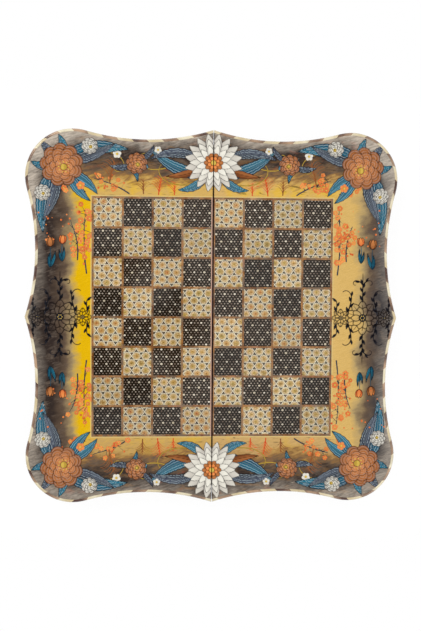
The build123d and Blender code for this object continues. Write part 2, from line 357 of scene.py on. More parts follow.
def light_inlay(name, cell=12.6, row=9.7, by_square=True):
    """Tan discs with amber or olive stars, framed by cream lines that cross between them."""
    finish = Finish(name, **LACQUER)
    x, y, _ = finish.place()
    own, shift = square_chances(finish, x, y)
    wobble = finish.noise(x / 4.0, y / 4.0, detail=1.0) - 0.5
    if by_square:
        x_moved = x + shift[0] * cell + wobble * 1.2
        y_moved = y + shift[1] * row - wobble * 1.2
    else:
        x_moved = x + wobble
        y_moved = y - wobble
    lattice = Lattice(x_moved, y_moved, cell, row)
    edge = lattice.edge()
    radius = lattice.radius()
    star = lattice.star()
    in_triangle = lattice.parity().abs().math("GREATER_THAN", 0.5)
    cells = lattice.chances(finish, own[2] * 7.0)
    fleck = finish.noise(x / 1.5, y / 1.5, own[0] * 9.0, detail=2.0, rough=0.65)

    olive = finish.mix(cells[0], colour(160, 138, 60), colour(200, 168, 82))
    amber = finish.mix(cells[1], colour(204, 126, 62), colour(218, 166, 88))
    warm = (own[0] * 1.1 - 0.2 + (cells[2] - 0.5) * 0.9).clamp()
    heart = finish.mix(warm, olive, amber)
    disc = finish.mix(cells[1], colour(196, 162, 104), colour(216, 186, 144))
    ring = finish.mix(cells[0], colour(240, 226, 176), colour(226, 196, 160))
    dark = finish.mix(cells[2], colour(28, 38, 32), colour(58, 32, 28))
    middle = finish.mix(cells[0], colour(196, 180, 138), colour(176, 150, 132))
    wedge = finish.mix(cells[2], colour(34, 40, 48), colour(66, 48, 34))
    corner = cell / 2
    line = edge.below(0.37, 0.3) * (1.6 - 1.3 * fleck)
    paint = finish.over(
        ring,
        (radius.below(0.69 * corner, 0.5), disc),
        (star.below(0.28 * corner, 0.7) * 0.85, heart),
        (fleck.between(0.5, 0.66) * 0.7, colour(128, 96, 54)),
        (fleck.below(0.36, 0.08) * 0.6, colour(242, 228, 194)),
        (radius.below(0.8, 0.4) * 0.7, colour(104, 72, 40)),
        (radius.between(0.74 * corner, 0.85 * corner) * 0.95, wedge),
        (in_triangle, finish.mix(edge.below(1.5, 0.3), middle, dark)),
        (line.clamp(), colour(246, 234, 204)),
    )

    shade = finish.noise(x / 3.4, y / 3.4, own[1] * 5.0, detail=2.0) * 0.56 + 0.67
    paint = finish.tint(paint, shade + (own[1] - 0.5) * 0.2)
    return finish.surface(paint, gloss(finish, x, y), edge.below(0.5, 0.6), 0.03)


def dark_inlay(name, cell=4.5, row=3.217, by_square=True):
    """Pale dots on black, where every third one each way is larger and whiter."""
    finish = Finish(name, **LACQUER)
    x, y, _ = finish.place()
    own, shift = square_chances(finish, x, y)
    wobble = finish.noise(x / 3.5, y / 3.5, detail=1.0) - 0.5
    if by_square:
        x_moved = x + shift[0] * 3 * cell + wobble
        y_moved = y + shift[1] * 3 * row - wobble
    else:
        x_moved = x + wobble
        y_moved = y - wobble
    lattice = Lattice(x_moved, y_moved, cell, row)
    radius = lattice.radius()
    edge = lattice.edge()
    in_hexagon = lattice.parity().abs().below(0.5, 0.1)
    thirds = [index / 3 for index in (lattice.indices[1], lattice.indices[2])]
    misses = [(third - third.round()).abs() for third in thirds]
    large = (misses[0] + misses[1]).below(0.1, 0.05)
    cells = lattice.chances(finish, own[2] * 7.0)

    black = finish.mix(cells[2], colour(6, 4, 3), colour(18, 13, 10))
    small = finish.mix(cells[0], colour(138, 118, 102), colour(202, 188, 170))
    white = finish.mix(cells[1], colour(240, 230, 212), colour(212, 198, 170))
    dot_radius = large * 0.56 + 0.98 + (cells[1] - 0.5) * 0.3
    paint = finish.over(
        black,
        (own[1].between(0.45, 1.0) * 0.3, colour(44, 30, 20)),
        (radius.below(dot_radius, 0.34) * in_hexagon, finish.mix(large, small, white)),
        (radius.below(0.34, 0.22) * (1.0 - large), colour(70, 54, 42)),
        (edge.below(0.16, 0.2) * (1.0 - in_hexagon) * 0.5, colour(120, 96, 62)),
    )
    shade = finish.noise(x / 30.0, y / 30.0, own[0] * 5.0) * 0.4 + 0.47 + own[2] * 0.36
    paint = finish.tint(paint, shade)
    return finish.surface(paint, gloss(finish, x, y), radius.below(dot_radius, 0.5), 0.02)


# Woods


def grain_wood(name, tones, grain=(40.0, 0.7, 3.0), along="x", knots=0.35, **sockets):
    """Straight-grained wood: tones from dark to light through stretched noise along one axis."""
    finish = Finish(name, **{**LACQUER, **sockets})
    x, y, z = finish.place()
    if along == "y":
        x, y = y, x
    length, width, depth = grain
    wander = finish.noise(x / 90.0, y / 30.0, z / 30.0) * 6.0
    fine = finish.noise(x / length, (y + wander) / width, z / depth, detail=4.0)
    broad = finish.noise(x / (2 * length), (y + wander) / (9 * width), z / (4 * depth), warp=0.6)
    value = (fine * (1 - knots) + broad * knots).between(0.3, 0.7)
    stops = [(index / (len(tones) - 1), colour(*tone)) for index, tone in enumerate(tones)]
    paint = finish.node("ValToRGB", {"stops": stops}, {0: value})
    pores = finish.noise(x / 7.0, (y + wander) / 0.22, z / 0.8, detail=2.0).between(0.66, 0.78)
    paint = finish.mix(pores * 0.55, paint, colour(*[0.55 * part for part in tones[0]]))
    return finish.surface(paint, fine * 0.25 + 0.32, 1.0 - pores, 0.05)


def strip_wood(name):
    """Orange-brown strips, greyer and pinker in places, dark where they meet at the seam."""
    finish = Finish(name, **LACQUER)
    x, y, _ = finish.place()
    fine = finish.noise(x / 5.0, y / 5.0, detail=5.0, rough=0.7)
    thread = finish.noise(x / 1.1, y / 1.1, 4.0, detail=2.0)
    length = finish.noise(x / 30.0, y / 30.0, 2.0, detail=1.0)
    value = (fine * 0.35 + thread * 0.25 + length * 0.4).between(0.39, 0.61)
    stops = ((0.0, colour(82, 46, 22)), (0.5, colour(144, 97, 54)), (1.0, colour(202, 158, 110)))
    grey = finish.noise(x / 16.0, y / 16.0, 9.0).between(0.45, 0.58)
    golden = finish.noise(x / 13.0, y / 13.0, 29.0).between(0.54, 0.64)
    pink = finish.noise(x / 22.0, y / 22.0, 19.0).between(0.56, 0.7)
    # Painted highlight: the strip left of the seam is made paler, for light caught on its rounded lacquered
    # edge
    left_seam_highlight = x.below(0.0, 0.2) * x.abs().below(FIELD_START, 0.3)
    # Dark along the seam: stained, worn edges, and painted shade of the deep seam gap
    seam_stain_and_shade = x.abs().below(1.2, 0.4)
    paint = finish.over(
        finish.node("ValToRGB", {"stops": stops}, {0: value}),
        (grey * 0.8, colour(122, 106, 89)),
        (golden * 0.65, colour(178, 120, 58)),
        (pink * 0.4, colour(186, 124, 92)),
        # painted highlight beside the seam
        (left_seam_highlight * 0.75, colour(206, 168, 150)),
        # seam stain and painted shade
        (seam_stain_and_shade * 0.95, colour(56, 18, 8)),
    )
    return finish.surface(paint, fine * 0.25 + 0.3, thread, 0.02)


def banding_wood(name, pale, deep, smoke):
    """Wood of the edge lozenges, which differ from one to the next and are smoked in places."""
    finish = Finish(name, **LACQUER)
    x, y, z = finish.place()
    piece = finish.noise(x / 24.0, y / 24.0, detail=0.0).between(0.34, 0.66)
    fine = finish.noise(x / 2.4, y / 2.4, z / 0.6, detail=4.0, rough=0.65)
    paint = finish.mix((fine * 0.5 + piece * 0.95 - 0.22).clamp(), colour(*deep), colour(*pale))
    smoked = finish.noise(x / 20.0, y / 20.0, 6.0, detail=4.0).between(0.5, 0.7)
    paint = finish.mix(smoked * 0.55, paint, colour(*smoke))
    return finish.surface(paint, fine * 0.25 + 0.3, fine, 0.03)


def ply(name):
    """Thin plies, with their edges dark and light by turns."""
    finish = Finish(name)
    x, y, z = finish.place()
    fine = finish.noise(x / 8.0, y / 1.2, z / 1.2)
    layer = (z * 5.2).sin() * 0.5 + 0.5
    paint = finish.mix((layer * 0.7 + fine * 0.3).clamp(), colour(150, 112, 70), colour(206, 172, 122))
    return finish.surface(paint, 0.6, fine, 0.05)


def brass(name):
    """Polished brass with fine scratches, brown where hands don't reach."""
    finish = Finish(name, Metallic=1.0)
    x, y, z = finish.place()
    scratch = finish.noise(x / 0.25, y / 3.0, z / 0.25, detail=3.0)
    stain = finish.noise(x / 4.0, y / 4.0, z / 4.0, detail=4.0).between(0.45, 0.75)
    paint = finish.mix(stain * 0.7, colour(216, 176, 98), colour(142, 104, 52))
    return finish.surface(paint, stain * 0.25 + scratch * 0.18 + 0.14, scratch, 0.01)


# Painted sheets: their ornament

LAYERS = ("rust", "teal", "white", "slate", "orange", "gold")
REACH = 4.0  # how far from an edge its distance is kept
COVER_EDGE = 0.7  # width over which a shape's edge hides what is below it
RIB_WIDTH = 0.45
HAIRS = 2.5  # pale lines between the middle of a shape and its edge
STALK_POINTS = 34
PETAL_POINTS = 14
TWIG_POINTS = 14


def spine(start, heading, length, bend, count, curl=0.0):
    """Points along a line that turns evenly by bend degrees, and by curl more towards its end."""
    share = np.linspace(0, 1, count)
    angle = np.radians(heading + bend * share + curl * share**3)
    steps = np.diff(share, prepend=0)[:, None] * length
    return np.array(start) + np.cumsum(steps * np.stack([np.cos(angle), np.sin(angle)], 1), 0)


def spot_at(centre, reach, heading):
    """The point that far from a centre, in a heading in degrees."""
    angle = radians(heading)
    return np.array(centre) + reach * np.array([cos(angle), sin(angle)])


class Garden:
    """One quarter's ornament, painted shape over shape on the sheet's points.

    For each colour it keeps the signed distance to that colour's edge, negative inside. It also keeps
    the strength of the dark and the pale line work, and how light each shape is.
    """

    def __init__(self, x, y):
        self.x = x
        self.y = y
        self.distance = {layer: np.full(x.shape, REACH) for layer in LAYERS}
        self.dark = np.zeros(x.shape)
        self.pale = np.zeros(x.shape)
        self.tone = np.full(x.shape, 0.5)

    def stroke(self, points, radii, layer, tone=0.5, line=0.9, rib=0.0, streaks=0, hair=0.0,
               blur=0.5, fade=0.3):
        """Paints a line of varying width: the union of round-ended pieces between its points.

        The distance to a piece is the distance to its axis less the radius there. A rib is a dark
        line along the middle, streaks are lighter and darker bands beside it, and hairs are pale lines.
        The tone fades along the line, and darkens with the square of the distance from its middle.
        """
        radii = np.broadcast_to(radii, len(points)).astype(float)
        margin = radii.max() + REACH
        low = points.min(0) - margin
        high = points.max(0) + margin
        near = (self.x > low[0]) & (self.x < high[0]) & (self.y > low[1]) & (self.y < high[1])
        if not near.any():
            return
        spots = np.stack([self.x[near], self.y[near]], 1)
        first = points[:-1]
        run = points[1:] - first
        away = spots[:, None] - first
        share = np.clip((away * run).sum(2) / (run**2).sum(1), 0, 1)
        off = away - share[:, :, None] * run
        radius = radii[:-1] + share * np.diff(radii)
        gaps = np.sqrt((off**2).sum(2)) - radius
        best = gaps.argmin(1)
        rows = np.arange(len(best))
        gap = gaps[rows, best]
        along = (best + share[rows, best]) / len(first)
        turn = run[best, 0] * away[rows, best, 1] - run[best, 1] * away[rows, best, 0]
        aside = np.sign(turn) * np.sqrt((off[rows, best] ** 2).sum(1))
        across = aside / np.maximum(radius[rows, best], 0.3)

        cover = np.clip(0.5 - gap / COVER_EDGE, 0, 1)
        if layer:
            own_tone = tone + fade * (along - 0.5) - 0.16 * across**2 + 0.12 * np.tanh(3 * across) * (rib > 0)
            own_tone = own_tone + 0.1 * np.cos(2 * pi * streaks * across) * (streaks > 0)
            self.tone[near] = self.tone[near] * (1 - cover) + np.clip(own_tone, 0, 1) * cover
            for name in LAYERS:
                kept = self.distance[name][near]
                if name == layer:
                    kept = np.minimum(kept, gap)
                else:
                    kept = np.maximum(kept, -gap)
                self.distance[name][near] = np.clip(kept, -REACH, REACH)
        inside = np.clip(0.5 - gap, 0, 1)
        edge_line = line * np.exp(-((gap / blur) ** 2))
        middle = rib * np.exp(-((aside / RIB_WIDTH) ** 2)) * inside
        self.dark[near] = np.maximum(self.dark[near] * (1 - cover), np.maximum(edge_line, middle))
        hairs = hair * inside * np.clip(np.cos(2 * pi * HAIRS * across) * 1.6 - 0.7, 0, 1)
        self.pale[near] = np.maximum(self.pale[near] * (1 - cover), hairs)

    def leaf(self, start, heading, length, width, bend, layer, teeth=0, **looks):
        """A leaf that swells and then tapers to its tip, with teeth along it."""
        count = max(18, 5 * teeth)
        share = np.linspace(0, 1, count)
        swell = np.sin(pi * share**0.75) ** 0.8 * (1 - 0.25 * share) * (1 - 0.16 * (teeth * share % 1.0))
        points = spine(start, heading, length, bend, count)
        self.stroke(points, 0.2 + width / 2 * swell, layer, **{"rib": 0.8, **looks})

    def stem(self, start, heading, length, bend, curl=0.0, width=1.5, layer="slate", **looks):
        """A thin stalk, which may curl up at its end."""
        points = spine(start, heading, length, bend, STALK_POINTS, curl)
        radii = np.linspace(width / 2, width / 4, STALK_POINTS)
        self.stroke(points, radii, layer, **{"line": 0.4, **looks})
        return points

    def petals(self, centre, radius, count, width, turn, start=0.15, pointed=False, **looks):
        """A ring of petals, each widest near its round tip, or half way if it is pointed."""
        share = np.linspace(0, 1, PETAL_POINTS)
        if pointed:
            swell = np.sin(pi * share**0.85) ** 0.85
            blunt = 0.4
        else:
            swell = share**0.6 * np.sqrt(np.clip(1.12 - share**5, 0, None))
            blunt = width / 2
        for index in range(count):
            heading = turn + index * 360 / count
            inner = spot_at(centre, radius * start, heading)
            points = spine(inner, heading, radius * (1 - start) - blunt, 0, PETAL_POINTS)
            self.stroke(points, 0.3 + (width / 2 - 0.3) * swell, **{"fade": 0.55, "line": 0.8, **looks})

    def dot(self, centre, radius, layer, tone=0.6, line=0.8):
        """A round dot."""
        points = np.array([centre, (centre[0] + 0.05, centre[1])])
        self.stroke(points, radius, layer, tone, line)

    def peony(self, centre, radius, layer, turn):
        """Four rings of petals about a dotted heart, each ring a little off the one below."""
        centre = np.array(centre, float)
        lean = -0.03 * radius
        rings = (
            (1.0, 9, 0.72, 0, 0.3, 4),
            (0.82, 8, 0.62, 20, 0.44, 3),
            (0.62, 7, 0.52, 0, 0.58, 2),
            (0.42, 5, 0.42, 30, 0.76, 1),
        )
        for order, (size, count, width, twist, tone, streaks) in enumerate(rings):
            self.petals(centre + order * lean, radius * size, count, radius * width, turn + twist,
                        layer=layer, tone=tone, streaks=streaks, hair=0.35)
        heart = centre + 3 * lean
        self.dot(heart, radius * 0.13, "gold")
        for index in range(9):
            spot = spot_at(heart, radius * 0.2, turn + index * 40)
            self.dot(spot, radius * 0.02 + 0.25, "gold", 0.9, 0.0)

    def blossom(self, centre, radius, layer, turn, tone):
        """Five round petals about a gold dot."""
        self.petals(centre, radius, 5, radius * 0.9, turn, 0.1, layer=layer, tone=tone, line=0.35)
        self.dot(centre, radius * 0.24, "gold", 0.8, 0.3)

    def ink(self, start, heading, length, bend, curl, leaves, leaf, width):
        """A black tendril that may curl up at its end, with small black leaves on alternate sides."""
        points = spine(start, heading, length, bend, STALK_POINTS, curl)
        radii = np.linspace(width / 2, width / 5, STALK_POINTS)
        self.stroke(points, radii, "slate", 0.0, 0.6, fade=0.0)
        for index in range(leaves):
            share = (index + 0.6) / (leaves + 0.4) * 0.8
            place = int(share * (STALK_POINTS - 1))
            ahead = points[place + 1] - points[place]
            side = 1 - 2 * (index % 2)
            heading = degrees(atan2(ahead[1], ahead[0])) + 48 * side
            size = leaf * (1 - 0.4 * share)
            self.leaf(points[place], heading, size, size * 0.42, -34 * side, "slate", tone=0.05, rib=0.0)

    def ink_rosette(self, centre, radius, count, turn=0.0):
        """A flower in black outline only, with a filled heart, so the ground shows through it."""
        for size, width, twist, rib in ((1.0, 0.5, 0, 1.0), (0.66, 0.36, 180 / count, 0.0)):
            self.petals(centre, radius * size, count, radius * width, turn + twist, 0.25, True, layer="",
                        line=1.0, rib=rib, blur=0.7)
        self.dot(centre, radius * 0.22, "slate", 0.0)
        for index in range(6):
            self.dot(spot_at(centre, radius * 0.12, 60 * index), radius * 0.035, "gold", 0.8, 0.0)

    def tulip(self, root, heading, length, size, layer, bend):
        """A stem with two blades and a cup of three petals."""
        tip = self.stem(root, heading, length, bend, layer="teal", tone=0.3)[-1]
        self.leaf(root, heading + 26, length * 0.8, size * 0.5, -26, "teal", tone=0.6)
        self.leaf(root, heading - 24, length * 0.66, size * 0.5, 30, "teal", tone=0.4)
        for turn, tone in ((34, 0.3), (-34, 0.4), (0, 0.7)):
            self.leaf(tip, heading + bend + turn, size * 1.5, size * 0.85, -turn, layer,
                      tone=tone, rib=0.0, fade=0.5)

    def bush(self, base, heading, height, twigs, layer, tone):
        """A leafless bush of thin lines: one stem, and twigs on both sides that curl away from it."""
        count = 20
        stem = spine(base, heading, height, 10, count)
        self.stroke(stem, np.linspace(0.8, 0.35, count), layer, tone, 0.2, fade=0.0)
        for index in range(twigs):
            share = 0.12 + 0.8 * index / twigs
            side = 1 - 2 * (index % 2)
            start = stem[int(share * (count - 1))]
            length = height * (0.85 - 0.6 * share)
            twig = spine(start, heading + 22 * side, length, 34 * side, TWIG_POINTS, 40 * side)
            radii = np.linspace(0.5, 0.28, TWIG_POINTS)
            self.stroke(twig, radii, layer, tone + 0.1, 0.15, fade=0.0)

    def branch(self, start, heading, length, bend, blossoms, size, rng):
        """A dark twig with blossoms and buds scattered along both its sides."""
        points = self.stem(start, heading, length, bend, width=1.8)
        for index in range(blossoms):
            place = points[int((0.25 + 0.75 * index / blossoms) * (len(points) - 1))]
            away = rng.uniform(0, 360)
            spot = spot_at(place, rng.uniform(1.0, 2.6) * size, away)
            self.stroke(np.array([place, spot]), 0.35, "slate", 0.2, 0.2)
            if rng.random() < 0.62:
                self.blossom(spot, size * rng.uniform(0.75, 1.15), "orange", rng.uniform(0, 72),
                             rng.uniform(0.3, 0.8))
            else:
                self.dot(spot, size * 0.32, "orange", rng.uniform(0.2, 0.6), 0.4)


def plant(garden, end, side):
    """Plants one quarter's flowers and leaves, written for the quarter with x and y above 0.

    The quarter's own points are turned into it by mirroring, so the layout is the same in each, but
    the small blossoms differ.
    """
    rng = np.random.default_rng(40 + 2 * (end > 0) + (side > 0))

    # Side middle: black tendrils and rosettes that mirror each other, with tulips beside them
    garden.ink((183, 4), 84, 42, -50, 190, 4, 8.0, 1.8)
    garden.ink((223, 4), 96, 42, 50, -190, 4, 8.0, 1.8)
    garden.ink((167, 6), 88, 28, -30, 190, 3, 7.0, 1.6)
    garden.ink((239, 6), 92, 26, 30, -190, 3, 7.0, 1.6)
    garden.ink((203, 22), 90, 38, 0, 0, 5, 7.5, 1.6)
    garden.ink((203, 44), 60, 22, -60, -190, 1, 6.0, 1.5)
    garden.ink((203, 44), 120, 22, 60, 190, 1, 6.0, 1.5)
    garden.ink_rosette((173, 0), 12, 8)
    garden.ink_rosette((232, 0), 12, 8)
    garden.ink_rosette((203, 0), 23, 10, 18)
    garden.tulip((216, 66), 96, 28, 8, "rust", -10)
    garden.tulip((200, 74), 84, 24, 7, "orange", 12)

    # Twigs in bloom beside the field
    garden.branch((168, 58), 82, 86, 14, 26, 4.9, rng)
    garden.branch((180, 76), 96, 48, -30, 15, 4.6, rng)
    garden.branch((170, 166), 14, 40, 44, 11, 4.6, rng)
    garden.branch((112, 164), 34, 50, -22, 17, 4.6, rng)

    # Shrubs beside the field's end
    garden.bush((52, 163), 86, 18, 8, "orange", 0.12)
    garden.bush((73, 163), 94, 25, 10, "orange", 0.05)
    garden.bush((93, 164), 84, 20, 8, "rust", 0.2)
    garden.bush((138, 178), 98, 32, 12, "rust", 0.25)

    # Top: a white lotus on the seam between teal leaves
    garden.stem((34, 176), -2, 70, 30, 210, 1.5, "gold", tone=0.4)
    garden.leaf((18, 190), 6, 74, 18, 40, "teal", 11, tone=0.4, hair=0.9)
    garden.leaf((24, 214), 20, 62, 15, -46, "slate", 8, tone=0.5, hair=0.8)
    garden.leaf((12, 186), -54, 40, 13, 56, "teal", 6, tone=0.55, hair=0.8)
    garden.leaf((20, 196), -22, 44, 11, 20, "rust", 5, tone=0.35)
    lotus = (0, 206)
    rings = ((39, 16, 13, 11.25, 0.42), (32, 14, 11, 0, 0.66), (24, 12, 9, 15, 0.86))
    for radius, count, width, turn, tone in rings:
        garden.petals(lotus, radius, count, width, turn, pointed=True, layer="white", tone=tone)
    garden.petals(lotus, 15, 10, 8, 0, layer="rust", tone=0.5, streaks=1)
    garden.petals(lotus, 10, 8, 6, 22, layer="orange", tone=0.6)
    garden.dot(lotus, 3.6, "gold", 0.7)

    # Along the top: a scroll with a small rust flower and two white ones
    garden.stem((64, 198), -14, 62, 40, 240, 1.5, "gold", tone=0.45)
    garden.stem((150, 220), 186, 60, 24, 220, 1.4, "gold", tone=0.45)
    garden.leaf((88, 198), 52, 30, 10, -46, "teal", 5, tone=0.65, hair=0.7)
    garden.leaf((114, 208), 222, 32, 10, 44, "teal", 5, tone=0.4, hair=0.7)
    garden.leaf((112, 200), -20, 26, 9, 40, "slate", 4, tone=0.5, hair=0.7)
    garden.leaf((94, 210), 150, 24, 8, -40, "slate", 4, tone=0.5, hair=0.7)
    garden.peony((102, 204), 17, "rust", 10)
    garden.blossom((128, 216), 7, "white", 20, 0.7)
    garden.blossom((74, 222), 6, "white", 50, 0.6)

    # Corner: a large rust peony on teal and slate leaves
    garden.leaf((190, 216), 160, 78, 22, 30, "teal", 12, tone=0.45, hair=0.9)
    garden.leaf((216, 188), -68, 78, 22, -30, "teal", 12, tone=0.35, hair=0.9)
    garden.leaf((192, 206), 172, 66, 17, -26, "slate", 9, tone=0.45, hair=0.8)
    garden.leaf((206, 190), -86, 66, 17, 26, "slate", 9, tone=0.5, hair=0.8)
    garden.leaf((190, 190), 196, 46, 15, 40, "teal", 7, tone=0.6, hair=0.8)
    garden.leaf((190, 190), -106, 46, 15, -40, "teal", 7, tone=0.55, hair=0.8)
    garden.leaf((200, 212), 106, 30, 13, -50, "teal", 5, tone=0.5, hair=0.8)
    garden.leaf((212, 200), -16, 30, 13, 50, "teal", 5, tone=0.5, hair=0.8)
    garden.leaf((206, 206), 45, 36, 14, 10, "slate", 6, tone=0.5, hair=0.9)
    garden.peony((226, 164), 13, "white", 0)
    garden.peony((164, 226), 13, "white", 30)
    garden.peony((201, 201), 34, "rust", 5)
    garden.blossom((176, 174), 7, "orange", 10, 0.6)
    for _ in range(22):
        spot = (rng.uniform(168, 236), rng.uniform(96, 150))
        garden.dot(spot, rng.uniform(0.6, 1.4), "orange", rng.uniform(0.3, 0.8), 0.2)


# Painted sheets: their mesh

AROUND = 1036  # steps round three sides of a half
ACROSS = 82  # steps from the banding to the chess field


def quarter_outline(start, count):
    """Points along the banding's inner edge from the cusp to the middle of a corner, evenly spaced.

    They run along an arc of the hollow from x = start, and then along the corner's arc that touches it,
    each point by its angle about that arc's centre.
    """
    hollow = HOLLOW_RADIUS + BAND_WIDTH
    corner = CORNER_RADIUS - BAND_WIDTH
    run_x = CORNER_CENTRE - WAIST_OFFSET
    run_y = CORNER_CENTRE - HOLLOW_CENTRE
    first_angle = -pi / 2 - asin((WAIST_OFFSET - start) / hollow)
    hollow_length = (atan2(run_y, run_x) - first_angle) * hollow
    corner_angle = atan2(-run_y, -run_x)
    corner_length = (corner_angle - pi / 4) * corner
    distance = np.linspace(0, hollow_length + corner_length, count)
    on_hollow = distance <= hollow_length
    along = first_angle + distance / hollow
    turned = corner_angle - (distance - hollow_length) / corner
    x = np.where(on_hollow, WAIST_OFFSET + hollow * np.cos(along), CORNER_CENTRE + corner * np.cos(turned))
    y = np.where(on_hollow, HOLLOW_CENTRE + hollow * np.sin(along), CORNER_CENTRE + corner * np.sin(turned))
    return np.stack([x, y], 1)


def sheet_edges():
    """Both edges of the right half's sheet, from the seam's north end round to its south end.

    The first is the banding's inner edge, and the second the point of the chess field's edge that
    each of its points is joined to by a straight line.
    """
    quarter = AROUND // 4 + 1
    share = np.linspace(0, 1, quarter)
    top = quarter_outline(SEAM_HALF, quarter)
    side = quarter_outline(0.0, quarter)[::-1, ::-1]
    field_top = np.stack([SEAM_HALF + share * (FIELD_END - SEAM_HALF), np.full(quarter, FIELD_HALF)], 1)
    field_side = np.stack([np.full(quarter, FIELD_END), (1 - share) * FIELD_HALF], 1)
    mirror = np.array([1, -1])
    outer = np.concatenate([top, side[1:]])
    inner = np.concatenate([field_top, field_side[1:]])
    return (
        np.concatenate([outer, outer[-2::-1] * mirror]),
        np.concatenate([inner, inner[-2::-1] * mirror]),
    )


def ornament(x, y, side):
    """What the two gardens of a half give at its points."""
    values = {name: np.zeros(x.shape) for name in (*LAYERS, "dark", "pale", "tone")}
    for end in (1, -1):
        own = (y >= 0) if end > 0 else (y < 0)
        garden = Garden(np.abs(x[own]), np.abs(y[own]))
        plant(garden, end, side)
        for layer in LAYERS:
            values[layer][own] = garden.distance[layer]
        values["dark"][own] = garden.dark
        values["pale"][own] = garden.pale
        values["tone"][own] = garden.tone
    return values


def painted_sheet(half, side):
    """Closed plate between the banding and the chess field, with the ornament on its points.

    A point of its top is outer + (inner - outer) v, for v from 0 to 1, and below both edges a point
    of the underside closes each cross-section.
    """
    low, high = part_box(f"{half}_painted_border")
    outer, inner = sheet_edges()
    share = np.concatenate([np.linspace(0, 1, ACROSS + 1), [1, 0]])
    height = np.concatenate([np.full(ACROSS + 1, high.z / MM), np.full(2, low.z / MM)])
    plan = outer[:, None] + (inner - outer)[:, None] * share[None, :, None]
    x = side * plan[:, :, 0].ravel()
    y = plan[:, :, 1].ravel()
    z = np.broadcast_to(height, plan.shape[:2]).ravel()
    ring = len(share)
    columns = len(outer)
    first = (np.arange(columns - 1)[:, None] * ring + np.arange(ring)).ravel()
    after = (np.arange(columns - 1)[:, None] * ring + (np.arange(ring) + 1) % ring).ravel()
    quads = np.stack([first, after, after + ring, first + ring], 1)
    caps = [np.arange(ring)[::-1], (columns - 1) * ring + np.arange(ring)]
    if side < 0:
        quads = quads[:, ::-1]
        caps = [cap[::-1] for cap in caps]
    mesh = bpy.data.meshes.new(f"{half}_painted_sheet")
    points = np.stack([x, y, z], 1) * MM
    mesh.from_pydata(points.tolist(), [], quads.tolist() + [cap.tolist() for cap in caps])
    mesh.update()

    values = ornament(x, y, side)
    values["rim"] = np.hypot(*((outer - inner).T))[:, None].repeat(ring, 1).ravel() * np.tile(share, columns)
    for name, value in values.items():
        attribute = mesh.attributes.new(f"paint_{name}", "FLOAT", "POINT")
        attribute.data.foreach_set("value", value.astype(np.float32))
    sheet = add_object(f"{half}_painted_sheet", mesh)
    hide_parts(f"{half}_painted_border")
    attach(sheet, f"{half}_half")
    return sheet


